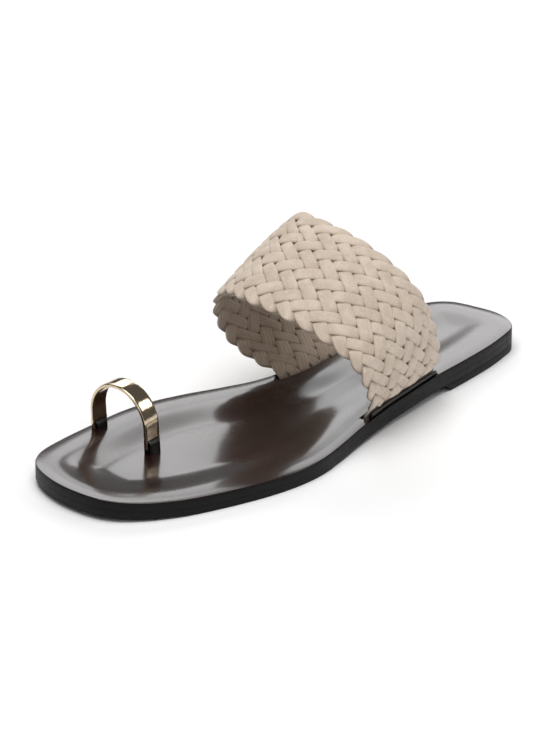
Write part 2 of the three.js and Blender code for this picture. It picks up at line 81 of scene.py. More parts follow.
# %% Sizes of the strap and its slots
SLOT_FROM_TOE, SLOT_LENGTH, SLOT_GAP, LIP = 138 * MM, 52 * MM, 0.45 * MM, 0.9 * MM
TAB_THICK, TAB_GAP, STRAND_THICK = 1.2 * MM, 0.5 * MM, 1.9 * MM
STRAP_INSET, STRAP_CROWN = 1.0 * MM, 2.8 * MM
STRAP_MID_INSET = LIP + SLOT_GAP + TAB_THICK + TAB_GAP
SLOT_DEPTH = STRAP_MID_INSET + STRAND_THICK + SLOT_GAP
STRANDS, TAB_STEPS, LAST_STEP = 16, 4, 84
HOOP_SIZES = {  # at the strap's front edge and at its back edge
    "rise": (50.6 * MM, 70 * MM),  # height of the top over the rim
    "outer": (10 * MM, 11.2 * MM),  # bulge past the slot, outer side
    "inner": (16 * MM, 10.5 * MM),  # the same, inner side
    "shift": (9.2 * MM, 14 * MM),  # how far the top lies towards the big toe's side
    "lean": (33.5 * MM, 37 * MM),  # how far the top lies towards the toes
    "tab": (5 * MM, 3 * MM),  # length of the end that the tab covers
}
HOOP = np.array([
    # shares of: rise, span, outer bulge, inner bulge, lean on the outer and on the inner side
    (0.05, 1.00, 0.15, 0.17, 0.02, 0.05),
    (0.12, 1.00, 0.42, 0.52, 0.06, 0.16),
    (0.24, 1.00, 0.72, 0.84, 0.15, 0.34),
    (0.36, 1.00, 0.90, 0.96, 0.25, 0.48),
    (0.48, 1.00, 1.00, 1.00, 0.35, 0.58),
    (0.61, 0.98, 1.00, 1.00, 0.46, 0.67),
    (0.75, 0.88, 1.00, 1.00, 0.61, 0.76),
    (0.865, 0.72, 1.00, 1.00, 0.76, 0.83),
    (0.945, 0.51, 1.00, 1.00, 0.88, 0.88),
    (0.988, 0.26, 1.00, 1.00, 0.96, 0.96),
])

# %% Sizes of the toe ring and its loops
RING_FROM_TOE, RING_X = 53.1 * MM, -0.27 * BALL_WIDTH
RING_TURN, RING_LEAN = math.radians(7), math.radians(3)
RING_RADIUS, RING_THICK, RING_BAND = 14.35 * MM, 1.7 * MM, 8.2 * MM
RING_LEG, RING_LIFT, RING_BAR, RING_POST = 8.8 * MM, 0.6 * MM, 1.2 * MM, 0.9 * MM
LOOP_THICK, LOOP_POCKET = 1.1 * MM, 0.9 * MM

# %% [markdown]
# ## Smooth curves
#
# A maker draws an outline through a few marks with a bent spline. A chain of cubics does the
# same: it passes through every point of a table, and since close points get short cubics, it
# never loops between them. It is sampled finely once, and every later place on it is an
# interpolation by length, which works on whole arrays.


# %% Curves through points
FINE = 40  # points on a curve from one mark to the next


def spline(points, closed=False):
    """Fine points on a curve through the given ones. Between two of them it is the cubic whose
    slopes at both ends come from the neighbours, weighted by the roots of their distances."""
    points = np.asarray(points, float)
    if closed:
        padded = np.vstack([points[-1], points, points[:2]])
    else:
        padded = np.vstack([2 * points[0] - points[1], points, 2 * points[-1] - points[-2]])
    p0, p1, p2, p3 = padded[:-3], padded[1:-2], padded[2:-1], padded[3:]
    d0, d1, d2 = (np.sqrt(np.linalg.norm(b - a, axis=1))[:, None]
                  for a, b in ((p0, p1), (p1, p2), (p2, p3)))
    start = ((p1 - p0) / d0 - (p2 - p0) / (d0 + d1) + (p2 - p1) / d1) * d1
    end = ((p2 - p1) / d1 - (p3 - p1) / (d1 + d2) + (p3 - p2) / d2) * d1
    t = np.linspace(0, 1, FINE, endpoint=False)[None, :, None]
    p1, p2, start, end = (a[:, None] for a in (p1, p2, start, end))
    curve = (p1 + start * t + (3 * (p2 - p1) - 2 * start - end) * t**2
             + (2 * (p1 - p2) + start + end) * t**3)
    return np.vstack([curve.reshape(-1, points.shape[1]), points[0] if closed else points[-1]])


def lengths(curve):
    """The distance along a fine curve up to each of its points."""
    return np.concatenate([[0], np.cumsum(np.linalg.norm(np.diff(curve, axis=0), axis=1))])


def at_length(curve, distance):
    """The curve's points at the given distances along it."""
    run = lengths(curve)
    return np.stack([np.interp(distance, run, column) for column in curve.T], axis=-1)


def unit(vectors):
    """The same directions with length 1."""
    return vectors / np.linalg.norm(vectors, axis=-1, keepdims=True)


def smoothstep(x, low, high):
    """0 below low, 1 above high, and a soft S between them."""
    t = np.clip((x - low) / (high - low), 0, 1)
    return t * t * (3 - 2 * t)


def blend(a, b, share):
    """The mix of a and b, where share 0 is a and 1 is b."""
    return a + (b - a) * share


# %% [markdown]
# ## From a grid to a piece
#
# All the surfaces are grids of points, rows by columns. Two neighbouring rows and columns
# make a four-sided face, and a grid that closes on itself, as a tube does, takes its last
# column back to its first. Open ends are closed by one face each. Where a row shrinks to
# nothing, as a sole's cross-section does at its tips, its doubled points are merged.


# %% Grids and pieces
def tube(points, first):
    """Faces of a closed tube: a grid whose rows are rings, numbered row by row from first, and
    one face over each end."""
    rows, columns = points.shape[:2]
    index = first + np.arange(rows * columns).reshape(rows, columns)
    ring = np.hstack([index, index[:, :1]])
    around = np.stack([ring[:-1, :-1], ring[:-1, 1:], ring[1:, 1:], ring[1:, :-1]], axis=-1)
    return around.reshape(-1, 4).tolist() + [index[0, ::-1].tolist(), index[-1].tolist()]


def make_piece(name, grids, replaces, attributes=None, merge=0.0):
    """One mesh object from closed tubes. attributes holds a value for each point, by name."""
    faces, first = [], 0
    for grid in grids:
        faces += tube(grid, first)
        first += grid.shape[0] * grid.shape[1]
    mesh = bpy.data.meshes.new(name)
    mesh.from_pydata(np.vstack([g.reshape(-1, 3) for g in grids]).tolist(), [], faces)
    for key, values in (attributes or {}).items():
        layer = mesh.attributes.new(key, "FLOAT", "POINT")
        layer.data.foreach_set("value", np.asarray(values, np.float32).ravel())
    work = bmesh.new()
    work.from_mesh(mesh)
    if merge:
        bmesh.ops.remove_doubles(work, verts=work.verts, dist=merge)
    bmesh.ops.recalc_face_normals(work, faces=work.faces)
    work.to_mesh(mesh)
    work.free()
    mesh.shade_smooth()
    piece = bpy.data.objects.new(name, mesh)
    bpy.context.scene.collection.objects.link(piece)
    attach(piece, "root")
    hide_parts(*replaces)
    print(f"{name}: {len(mesh.vertices)} points, {len(mesh.polygons)} faces")
    return piece


def keep_creases(piece, degrees=35):
    """Edges sharper than this angle stay crisp, and all others are shaded smooth."""
    piece.data.set_sharp_from_angle(angle=math.radians(degrees))


# %% [markdown]
# ## The sole's outline and side profile
#
# A flat sole is cut from sheet along one outline, so its layers share that outline. The
# underside rises a little at the toe and by the heel lift at the back. A point of any layer
# is then given by its place along the edge, its inset from the edge and its height above the
# underside.

# %% Outline and underside
def from_toe(distance):
    """The Y of a place this far behind the toe tip."""
    return distance - LENGTH / 2


def outline_point(along, share):
    """X and Y of marks given by their shares of the length and of half the ball's width."""
    return np.stack([share * BALL_WIDTH / 2, from_toe(along * LENGTH)], axis=-1)


along_marks, inner_shares, outer_shares = OUTLINE.T
outline = spline(np.vstack([
    outline_point(*TOE_TIP), outline_point(along_marks, outer_shares),
    outline_point(*HEEL_TIP), outline_point(along_marks, inner_shares)[::-1],
]), closed=True)
HEEL_INDEX = (len(OUTLINE) + 1) * FINE
EDGE_LENGTH, HEEL_DISTANCE = lengths(outline)[-1], lengths(outline)[HEEL_INDEX]
print(f"Edge of the sole: {EDGE_LENGTH:.3f} m")


def edge_points(distance, inset):
    """Points at these distances round the edge, moved inwards across the edge's direction."""
    step = 0.2 * MM
    at = at_length(outline, distance % EDGE_LENGTH)
    ahead = at_length(outline, (distance + step) % EDGE_LENGTH)
    behind = at_length(outline, (distance - step) % EDGE_LENGTH)
    along = unit(ahead - behind)
    inwards = np.stack([-along[..., 1], along[..., 0]], axis=-1)
    return at + inwards * np.asarray(inset)[..., None]


def underside(y):
    """Height of the sole's underside: a parabola at the toe and a soft step to the heel."""
    along = np.clip(y / LENGTH + 0.5, 0, 1)
    spring = TOE_SPRING * np.clip(1 - along / SPRING_END, 0, None) ** 2
    return spring + HEEL_LIFT * smoothstep(along, RISE_START, RISE_END)


# %% Rows across the sole
def edge_distance(side, y):
    """Distance round the edge at which one side of the sole is at a place along Y."""
    run = lengths(outline)
    half = slice(0, HEEL_INDEX + 1) if side > 0 else slice(len(run) - 1, HEEL_INDEX - 1, -1)
    return np.interp(y, outline[half, 1], run[half])


def sole_rows(side, stations, counts):
    """Distances round one side from the toe tip to the heel tip, even between stations."""
    ends = [0 if side > 0 else EDGE_LENGTH, *(edge_distance(side, y) for y in stations),
            HEEL_DISTANCE]
    parts = [np.linspace(a, b, n, endpoint=False)
             for a, b, n in zip(ends[:-1], ends[1:], counts)]
    return np.concatenate([*parts, [HEEL_DISTANCE]])


def sole_layer(rows, insets, heights, middle=12, relief=None):
    """A layer as one tube of cross-sections from toe to heel. Each runs up the outer side
    through the given insets and heights, over the top, down the inner side and back below.
    insets may hold a row for each cross-section. relief gives what is added to the top's
    height at each place in plan."""
    insets = np.broadcast_to(insets, (len(rows[1]), len(heights)))
    sides = [edge_points(np.repeat(rows[side][:, None], len(heights), 1), insets)
             for side in (1, -1)]
    share = np.linspace(0, 1, middle + 2)[1:-1, None]
    top = blend(sides[0][:, None, -1], sides[1][:, None, -1], share)
    below = blend(sides[1][:, None, 0], sides[0][:, None, 0], share)
    plan = np.concatenate([sides[0], top, sides[1][:, ::-1], below], axis=1)
    height = underside(plan[..., 1]) + np.concatenate([
        heights, np.full(middle, heights[-1]), heights[::-1], np.full(middle, heights[0])])
    if relief is not None:
        span = slice(len(heights), len(heights) + middle)
        height[:, span] += relief(top)
    return np.dstack([plan, height])


# %% [markdown]
# ## Finishes as expressions
#
# A finish is a small network of shader nodes. Written node by node it is hard to read, so a
# class wraps a socket and lets +, - and * add the Math nodes. Any other node comes from one
# method that takes its type, its settings and what goes into its sockets. The scale of a noise
# is in spots per metre, and the distance of a bump is its full height in metres.


# %% Sockets with operators
def linear(code):
    """A colour written as RRGGBB on screen, as the linear numbers that a shader takes."""
    parts = np.array([int(code[i:i + 2], 16) for i in (0, 2, 4)]) / 255
    values = np.where(parts <= 0.04045, parts / 12.92, ((parts + 0.055) / 1.055) ** 2.4)
    return (*values, 1.0)


class Value:
    """A number that changes over a surface."""

    def __init__(self, finish, socket):
        self.finish, self.socket = finish, socket

    def maths(self, operation, first, second):
        return self.finish.node("ShaderNodeMath", {"operation": operation},
                                {0: first, 1: second})

    def __add__(self, other):
        return self.maths("ADD", self, other)

    def __sub__(self, other):
        return self.maths("SUBTRACT", self, other)

    def __rsub__(self, other):
        return self.maths("SUBTRACT", other, self)

    def __mul__(self, other):
        return self.maths("MULTIPLY", self, other)

    __radd__, __rmul__ = __add__, __mul__


class Finish:
    """A material with one Principled shader, whose steady numbers are set by name."""

    def __init__(self, name, **steady):
        self.material = bpy.data.materials.new(name)
        self.material.use_nodes = True
        self.tree = self.material.node_tree
        self.tree.nodes.clear()
        self.shader = self.tree.nodes.new("ShaderNodeBsdfPrincipled")
        output = self.tree.nodes.new("ShaderNodeOutputMaterial")
        self.tree.links.new(self.shader.outputs[0], output.inputs["Surface"])
        for key, value in steady.items():
            self.shader.inputs[key.replace("_", " ")].default_value = value

    def node(self, kind, settings=None, sockets=None, output=0):
        """A node of this kind: its settings first, then a number or a link for each socket."""
        made = self.tree.nodes.new(kind)
        for key, value in (settings or {}).items():
            setattr(made, key, value)
        for key, value in (sockets or {}).items():
            self.plug(made.inputs[key], value)
        return Value(self, made.outputs[output])

    def plug(self, socket, value):
        if isinstance(value, Value):
            self.tree.links.new(value.socket, socket)
        else:
            socket.default_value = value

    def drive(self, **varying):
        """Links what changes over the surface to the shader."""
        for key, value in varying.items():
            self.plug(self.shader.inputs[key.replace("_", " ")], value)

    def place(self):
        return self.node("ShaderNodeTexCoord", output="Object")

    def attribute(self, name):
        return self.node("ShaderNodeAttribute", {"attribute_name": name}, output="Fac")

    def stretched(self, place, scale):
        return self.node("ShaderNodeMapping", sockets={"Vector": place, "Scale": scale})

    def noise(self, place, scale, detail=3.0, roughness=0.55):
        return self.node("ShaderNodeTexNoise", sockets={
            "Vector": place, "Scale": scale, "Detail": detail, "Roughness": roughness})

    def range(self, value, low, high, new_low=0.0, new_high=1.0):
        """value from low to high becomes new_low to new_high, softly and with no overshoot."""
        return self.node("ShaderNodeMapRange", {"interpolation_type": "SMOOTHSTEP"}, {
            "Value": value, "From Min": low, "From Max": high,
            "To Min": new_low, "To Max": new_high})

    def mix(self, share, first, second):
        """The first colour where share is 0 and the second where it is 1."""
        return self.node("ShaderNodeMix", {"data_type": "RGBA"},
                         {0: share, 6: first, 7: second}, output=2)

    def bump(self, height, distance, strength=1.0, after=None):
        sockets = {"Height": height, "Distance": distance, "Strength": strength}
        if after is not None:
            sockets["Normal"] = after
        return self.node("ShaderNodeBump", sockets=sockets)


# %% [markdown]
# ## Sole leathers
#
# The footbed is smooth brown leather, filled and polished until it mirrors the room. What
# keeps it from looking like plastic is slight: pores under half a millimetre wide, low waves a
# few millimetres wide, and a brown and a polish that both vary in patches as wide as a thumb.
# The cut edge of both layers is painted black and burnished.

# %% Footbed leather
def footbed_leather():
    """Polished brown that turns black and dull where the attribute edge nears 1."""
    finish = Finish("polished_footbed_leather", Coat_IOR=1.58, Coat_Roughness=0.15,
                    Specular_IOR_Level=0.12)
    place = finish.place()
    patches = finish.noise(place, 35, detail=4)
    pores = finish.noise(place, 2600, detail=2)
    waves = finish.noise(place, 160, detail=3)
    edge = finish.range(finish.attribute("edge"), 0.35, 0.75)
    brown = finish.mix(finish.range(patches, 0.3, 0.7), linear("271411"), linear("1b0d0b"))
    finish.drive(
        Base_Color=finish.mix(edge, brown, linear("040303")),
        Roughness=finish.range(patches, 0.3, 0.7, 0.26, 0.34) + edge * 0.14,
        Coat_Weight=1.0 - edge * 0.98,
        Normal=finish.bump(pores, 0.012 * MM, after=finish.bump(waves, 0.03 * MM)),
    )
    return finish.material


def edge_paint():
    """Black edge paint and rubber: satin, with faint lines left by the burnishing wheel."""
    finish = Finish("black_sole_edge", Specular_IOR_Level=0.2)
    place = finish.place()
    wheel = finish.noise(finish.stretched(place, (40, 40, 2400)), 1, detail=2)
    grain = finish.noise(place, 900, detail=3)
    finish.drive(
        Base_Color=finish.mix(grain, linear("040303"), linear("0a0808")),
        Roughness=finish.range(grain, 0.3, 0.7, 0.42, 0.55),
        Normal=finish.bump(wheel, 0.03 * MM, after=finish.bump(grain, 0.02 * MM)),
    )
    return finish.material


sole_black = edge_paint()
polished_brown = footbed_leather()

# %% [markdown]
# ## Outsole and heel lift
#
# The outsole is a thin slab with its edges eased. Beside each slot it carries on upwards as a
# narrow lip, so that the black edge runs past the strap without a break. The heel lift is the
# same outline cut off at the breast, which slants forwards.

# %% Outsole
EASE = 0.3 * MM
SLOT_ENDS = (from_toe(SLOT_FROM_TOE), from_toe(SLOT_FROM_TOE + SLOT_LENGTH))
OUTSOLE_ROWS = (110, 50, 70)  # cross-sections before, beside and behind the slots
OUTSOLE_SIDE = np.array([
    # inset, height
    (0.15 * MM, 0), (0.04 * MM, 0.05 * MM), (0, 0.2 * MM),
    (0, OUTSOLE_THICK - EASE), (0, OUTSOLE_THICK - EASE * 0.3), (0.03 * MM, OUTSOLE_THICK),
])
outsole_rows = {side: sole_rows(side, SLOT_ENDS, OUTSOLE_ROWS) for side in (1, -1)}
outsole = sole_layer(outsole_rows, *OUTSOLE_SIDE.T)


def lip(side):
    """The black edge outside a slot: a rounded bar along the outline, from slab to rim."""
    stations, soft, below_rim = 60, 0.25 * MM, 0.05 * MM
    ends = np.array(SLOT_ENDS) + np.array([1, -1]) * SEAM / 6
    run = np.linspace(*edge_distance(side, ends), stations)
    top, low = RIM_TOP - below_rim, OUTSOLE_THICK - 1.5 * EASE
    profile = np.array([
        # inset, height
        (0, low), (0, top - soft), (soft * 0.3, top - soft * 0.3), (soft, top),
        (LIP - soft, top), (LIP - soft * 0.3, top - soft * 0.3), (LIP, top - soft), (LIP, low),
    ])
    plan = edge_points(np.repeat(run[:, None], len(profile), 1), profile[:, 0])
    return np.dstack([plan, underside(plan[..., 1]) + profile[:, 1]])


outsole_piece = make_piece("outsole_slab", [outsole, lip(1), lip(-1)],
                           ["outsole"], merge=0.01 * MM)
keep_creases(outsole_piece)
outsole_piece.data.materials.append(sole_black)


# %% Heel lift
ROUND_HEEL, ACROSS_BREAST = 150, 14
LIFT_TOP = HEEL_LIFT - 0.03 * MM
LIFT_SIDE = (
    # height, inset
    (0, 0.5 * MM), (0.12 * MM, 0.15 * MM), (0.5 * MM, 0), (LIFT_TOP - 0.05 * MM, 0),
    (LIFT_TOP, 0.03 * MM),
)


def lift_ring(height, inset):
    """The lift's outline at one height: round the heel, then straight across its breast."""
    breast = from_toe(BREAST_FROM_TOE - BREAST_SLANT * height / HEEL_LIFT)
    round_heel = np.linspace(edge_distance(1, breast), edge_distance(-1, breast), ROUND_HEEL)
    plan = edge_points(round_heel, np.full(ROUND_HEEL, inset))
    across = blend(plan[-1], plan[0], np.linspace(0, 1, ACROSS_BREAST)[1:-1, None])
    ring = np.vstack([plan, across])
    return np.column_stack([ring, np.full(len(ring), height)])


lift = np.stack([lift_ring(height, inset) for height, inset in LIFT_SIDE])
lift_piece = make_piece("heel_lift_stack", [lift], ["heel_lift"])
keep_creases(lift_piece)
lift_piece.data.materials.append(sole_black)

# %% [markdown]
# ## Footbed
#
# The footbed is pressed over a form, so a flat rim runs round a shallow hollow with soft
# shoulders. The soft shoulders matter most, because the polish shows them as long bright
# streaks. At the strap the layer steps in to leave the slots free. Only its flat rim stretches
# there, so that no streak of the polish bends at the step.

# %% Footbed
def hollow(plan):
    """Height of the hollow, below 0: nothing on the rim, then a soft S down, by the true
    distance to the nearest point of the sole's edge. Its rim, slope and depth go softly from
    those of the toes to those of the heel."""
    edge = outline[::4]
    away = np.stack([
        np.linalg.norm(row[:, None] - edge[None], axis=-1).min(1) for row in plan])
    to_heel = smoothstep(plan[..., 1] / LENGTH + 0.5, *HOLLOW_CHANGE)
    rim, slope, depth = (blend(TOE_HOLLOW[key], HEEL_HOLLOW[key], to_heel)
                         for key in ("rim", "slope", "depth"))
    return -depth * smoothstep(away, rim, rim + slope)


EDGE_ROUND, ACROSS_TOP = 0.5 * MM, 72
FLAT_RIM = SLOT_DEPTH + EDGE_ROUND + 0.3 * MM
FOOTBED_SIDE = np.array([
    # inset, height, share of edge paint
    (0.03 * MM, OUTSOLE_THICK + 0.04 * MM, 1),
    (0, OUTSOLE_THICK + 0.2 * MM, 1),
    (0, RIM_TOP - EDGE_ROUND, 1),
    (0.08 * MM, RIM_TOP - 0.25 * MM, 0.3),
    (0.25 * MM, RIM_TOP - 0.08 * MM, 0),
    (EDGE_ROUND, RIM_TOP, 0),
    (FLAT_RIM, RIM_TOP, 0),
])
side_inset, side_height, painted = FOOTBED_SIDE.T

TOE_ROWS, SLOT_ROWS, HEEL_ROWS, STEP_IN = 130, 60, 90, 0.02 * MM
stations = (SLOT_ENDS[0] - STEP_IN, *SLOT_ENDS, SLOT_ENDS[1] + STEP_IN)
counts = (TOE_ROWS, 1, SLOT_ROWS, 1, HEEL_ROWS)
footbed_rows = {side: sole_rows(side, stations, counts) for side in (1, -1)}
in_slot = np.zeros((len(footbed_rows[1]), 1))
in_slot[TOE_ROWS + 1:TOE_ROWS + SLOT_ROWS + 2] = SLOT_DEPTH
footbed = sole_layer(footbed_rows, side_inset + in_slot * (side_inset < FLAT_RIM), side_height,
                     middle=ACROSS_TOP, relief=hollow)
edge_share = np.concatenate([painted, np.zeros(ACROSS_TOP), painted[::-1], np.ones(ACROSS_TOP)])
footbed_piece = make_piece("footbed_leather", [footbed], ["footbed"],
                           {"edge": np.tile(edge_share, (len(in_slot), 1))}, merge=0.005 * MM)
keep_creases(footbed_piece, 50)


def paint_sides(piece, top_finish, side_finish):
    """The side's finish on faces whose corners all have edge above a half, the top's on all
    other faces."""
    mesh = piece.data
    mesh.materials.append(top_finish)
    mesh.materials.append(side_finish)
    edge = np.empty(len(mesh.vertices), np.float32)
    mesh.attributes["edge"].data.foreach_get("value", edge)
    corner = np.empty(len(mesh.loops), np.int32)
    mesh.loops.foreach_get("vertex_index", corner)
    first = np.empty(len(mesh.polygons), np.int32)
    mesh.polygons.foreach_get("loop_start", first)
    on_side = np.minimum.reduceat(edge[corner], first) > 0.5
    mesh.polygons.foreach_set("material_index", on_side.astype(np.int32))
    print(f"{piece.name}: {on_side.sum()} painted faces")


paint_sides(footbed_piece, polished_brown, sole_black)

# %% [markdown]
# ## The strap's surface
#
# The strap is a band bent over the foot. Its middle surface is a family of hoops, one for
# each place across the band, that rise from the slot, bulge, lean towards the toe and come
# down on the other side. They are worked out once on a fine table, and any point on the band
# is then looked up by its step along the braid and its line across it. Steps run from 0 in the
# outer slot to the last step in the inner one, and lines from one edge to the other.


# %% Hoops of the band
ACROSS, PER_STEP = 65, 4  # hoops across the band, and entries on a hoop for each step
ALL_STEPS = np.linspace(0, LAST_STEP, LAST_STEP * PER_STEP + 1)


def hoop(across):
    """One hoop: leg, outer side, top, inner side and leg, joined by a smooth curve."""
    size = {key: blend(*ends, across) for key, ends in HOOP_SIZES.items()}
    crown = 4 * STRAP_CROWN * across * (1 - across)
    y = from_toe(SLOT_FROM_TOE + STRAP_INSET + across * (SLOT_LENGTH - 2 * STRAP_INSET))
    low, rim = underside(y) + OUTSOLE_THICK + SEAM, underside(y) + RIM_TOP
    outer, inner = (edge_points(edge_distance(side, np.array([y])), [STRAP_MID_INSET])[0, 0]
                    for side in (1, -1))
    middle, half = (outer + inner) / 2, (outer - inner) / 2
    rise, span = HOOP[:, 0], HOOP[:, 1]

    def side_points(side, bulge, spread, lean):
        leg = [(middle + side * half, y, z) for z in (low, (low + rim) / 2, rim)]
        x = middle + side * span * (half + spread * (bulge + crown)) - (1 - span) * size["shift"]
        return np.vstack([leg, np.column_stack([
            x, y - lean * size["lean"], rim + rise * (size["rise"] + crown)])])

    top = (middle - size["shift"], y - size["lean"], rim + size["rise"] + crown)
    curve = spline(np.vstack([
        side_points(1, size["outer"], HOOP[:, 2], HOOP[:, 4]), top,
        side_points(-1, size["inner"], HOOP[:, 3], HOOP[:, 5])[::-1]]))
    total, cut = lengths(curve)[-1], FOOTBED_THICK + size["tab"]
    tab_ends = [0, TAB_STEPS, LAST_STEP - TAB_STEPS, LAST_STEP]
    return at_length(curve, np.interp(ALL_STEPS, tab_ends, [0, cut, total - cut, total]))


band = np.stack([hoop(across) for across in np.linspace(0, 1, ACROSS)])
across_slope, along_slope = np.gradient(band, axis=0), np.gradient(band, axis=1)
band_normal = unit(np.cross(across_slope, along_slope))
print("Top of the band:", band.reshape(-1, 3).max(0).round(4))


def look_up(table, step, line):
    """The table's value at a step along the braid and a line across it, by mixing the four
    nearest entries. Both are kept just short of the last entry, so that there is a next one."""
    short = 0.001
    row = np.clip((0.5 + line / (2 * STRANDS)) * (ACROSS - 1), 0, ACROSS - 1 - short)
    column = np.clip(step * PER_STEP, 0, LAST_STEP * PER_STEP - short)
    r, c = row.astype(int), column.astype(int)
    fr, fc = (row - r)[..., None], (column - c)[..., None]
    near = blend(table[r, c], table[r, c + 1], fc)
    far = blend(table[r + 1, c], table[r + 1, c + 1], fc)
    return blend(near, far, fr)


# %% [markdown]
# ## Braiding the strap
#
# Sixteen flat strands zigzag between the strap's edges. Going one way they are the first
# family, and after the turn at an edge they are the second. Each goes over two of the other
# family and under the next two, which gives the herringbone of bricks. A strand is a flat
# oval swept along its zigzag: it rides half its own thickness above the band's middle where
# it is on top and as far below where it is not.


# %% Path of a strand
TURN = 0.9  # radius of a turn, in steps
SWING = 0.9  # how fast a strand changes family at a turn
FLAT = 2.6  # how square the wave of overs and unders is


def soften(away):
    """What rounds off a corner: the gap between a line and a hyperbola that nears it."""
    return np.sqrt(away**2 + TURN**2) - away


def strand_line(step, number):
    """A strand's line across the band at each step: a zigzag from edge to edge with rounded
    turns. Also its family, from 1 to -1, and how many steps away the nearest turn is."""
    width = 2 * STRANDS
    phase = (step - 4 * number - STRANDS - 2) % (2 * width)
    to_back = width - np.abs(phase - width)
    to_front = width - to_back
    line = STRANDS - to_back - soften(to_back) + soften(to_front)
    away = np.minimum(to_back, to_front)
    return line, np.where(phase > width, 1.0, -1.0) * np.tanh(away * SWING), away


def strand_height(line, family):
    """How far over or under a strand rides, from 1 to -1: a rounded square wave along its
    way that changes every two crossings."""
    held = np.clip(line, 2 - STRANDS, STRANDS - 2)
    wave = np.cos(math.pi / 2 * (held / 2 - 0.5))
    return family * np.tanh(FLAT * wave) / math.tanh(FLAT)


# %% Section of a strand
def squarish_oval(corner, count):
    """Points round an oval: its cosine and sine, each with its size raised to the power 2 over
    corner. Corner 2 gives a circle, and a larger one flatter sides."""
    turn = np.linspace(0, 2 * math.pi, count, endpoint=False)
    return [np.sign(f(turn)) * np.abs(f(turn)) ** (2 / corner) for f in (np.cos, np.sin)]


# %% Sweep the strands
TURN_REACH = 1.6  # steps on which a turn changes a strand
TURN_NARROW, TURN_THICK, TURN_CALM = 0.1, 0.1, 0.15  # shares of its width, thickness and ride
BRICK_SPREAD = 0.035  # how much wider it is where it lies flat
PARED_FROM, PARED_TO = TAB_STEPS + 0.6, TAB_STEPS + 2.6  # steps from an end to thin it on
oval_across, oval_out = squarish_oval(corner=3.2, count=16)


def sweep_strand(number):
    """The strand's ring of points at each step, and for each point how deep it lies in the
    weave, its place across the strand and how far it faces into the strap."""
    line, family, away = strand_line(ALL_STEPS, number)
    centre, normal, per_step, per_line = (look_up(table, ALL_STEPS, line) for table in (
        band, band_normal, along_slope * PER_STEP, across_slope * (ACROSS - 1) / (2 * STRANDS)))

    # Strands of one family stand four steps apart. Their width is that spacing square to their
    # way: four times the area of the cell of one step and one line, over its diagonal.
    area = np.linalg.norm(np.cross(per_step, per_line), axis=-1)
    width = [4 * area / np.linalg.norm(per_step + way * per_line, axis=-1) for way in (-1, 1)]
    turn = np.exp(-(away / TURN_REACH) ** 2)
    over = strand_height(line, family)
    half = (blend(*width, (family + 1) / 2) / 2
            * (1 + BRICK_SPREAD * over**2 - TURN_NARROW * turn))
    ahead = np.gradient(centre + normal * (over * STRAND_THICK / 2)[:, None], axis=0)
    sideways = unit(np.cross(normal, ahead))

    ride = over * STRAND_THICK / 2 * (1 - TURN_CALM * turn)
    thick = STRAND_THICK / 2 * (1 + TURN_THICK * turn)
    lift = ride[:, None] + thick[:, None] * oval_out
    # depth marks where the strand dips into the weave; the finish paints shade there
    depth = 1 - np.clip(np.abs(lift) / (0.8 * STRAND_THICK), 0, 1)
    to_end = np.minimum(ALL_STEPS, LAST_STEP - ALL_STEPS)
    pared = 1 - smoothstep(to_end, PARED_FROM, PARED_TO)[:, None]
    lift = lift * (1 - pared / 2) - STRAND_THICK / 2 * pared
    ring = (centre[:, None] + sideways[:, None] * (half[:, None] * oval_across)[..., None]
            + normal[:, None] * lift[..., None])
    across = np.broadcast_to(oval_across, depth.shape)
    # inner marks the faces turned into the strap; the finish paints shade on them
    inner = np.broadcast_to(np.clip(-oval_out, 0, 1), depth.shape)
    return ring, depth, across, inner


strands, *marks = zip(*(sweep_strand(number) for number in range(STRANDS)))
marks = {name: np.concatenate([m.ravel() for m in mark])
         for name, mark in zip(("depth", "across", "inner"), marks)}
strap = make_piece("braided_strap", strands, ["strap"], marks)

# %% [markdown]
# ## Strand leather
#
# The strands are soft folded leather with a matt, napped face: no gloss, a fine grain, faint
# creases, and painted shade down between the bricks and on the faces turned into the strap. On
# the inside the folded edges show as ribs along each strand, with painted shade in their
# furrows.


# %% Strand finish
def strand_leather():
    """Cream nap with painted shade where the attribute depth is high. Where inner is high it has
    ribs, and painted shade both over the whole face and in the ribs' furrows.
    """
    finish = Finish("soft_strand_leather", Sheen_Weight=0.25, Sheen_Roughness=0.6)
    place = finish.place()
    tone = finish.noise(place, 150, detail=3)
    nap = finish.noise(place, 1500, detail=4, roughness=0.7)
    creases = finish.noise(place, 330, detail=4, roughness=0.6)
    weave_shade = finish.range(finish.attribute("depth"), 0.3, 1.0)
    inner = finish.range(finish.attribute("inner"), 0.1, 0.8)
    across = finish.attribute("across") + (finish.noise(place, 70) - 0.5) * 0.25
    ribs = finish.node("ShaderNodeMath", {"operation": "SINE"}, {0: across * 11.0})
    folds = finish.range(ribs, 0.5, 1.0) * inner
    speckled = finish.range(tone * 0.5 + nap * 0.5, 0.36, 0.64)
    cream = finish.mix(speckled, linear("d7c7b6"), linear("c1af9c"))
    # painted shade down between the bricks, where depth is high
    shaded = finish.mix(weave_shade * 0.8, cream, linear("66523f"))
    # painted shade on the faces turned into the strap, where inner is high
    inside_shaded = finish.mix(inner * 0.35, shaded, linear("9a8069"))
    finish.drive(
        # painted shade in the furrows of the ribs, where folds is high
        Base_Color=finish.mix(folds * 0.25, inside_shaded, linear("6b5746")),
        Roughness=finish.range(nap, 0.3, 0.7, 0.72, 0.9),
        Normal=finish.bump(nap, 0.12 * MM, after=finish.bump(
            creases * 0.6 - folds * 0.5, 0.25 * MM)),
    )
    return finish.material


strap.data.materials.append(strand_leather())

# %% [markdown]
# ## Tabs at the strap's ends
#
# A strip of brown leather covers the pared end of the braid on each side, between the black
# edge of the sole and the first full bricks. It follows the band's surface at a small
# distance outside it.


# %% Tabs
TAB_UP, TAB_ALONG, TAB_SOFT = 14, 70, 0.25 * MM
TAB_TOP = TAB_STEPS - 0.15
TAB_SHORT = {1: 0.4, -1: 1.0}  # lines by which a tab ends short of the band's edges


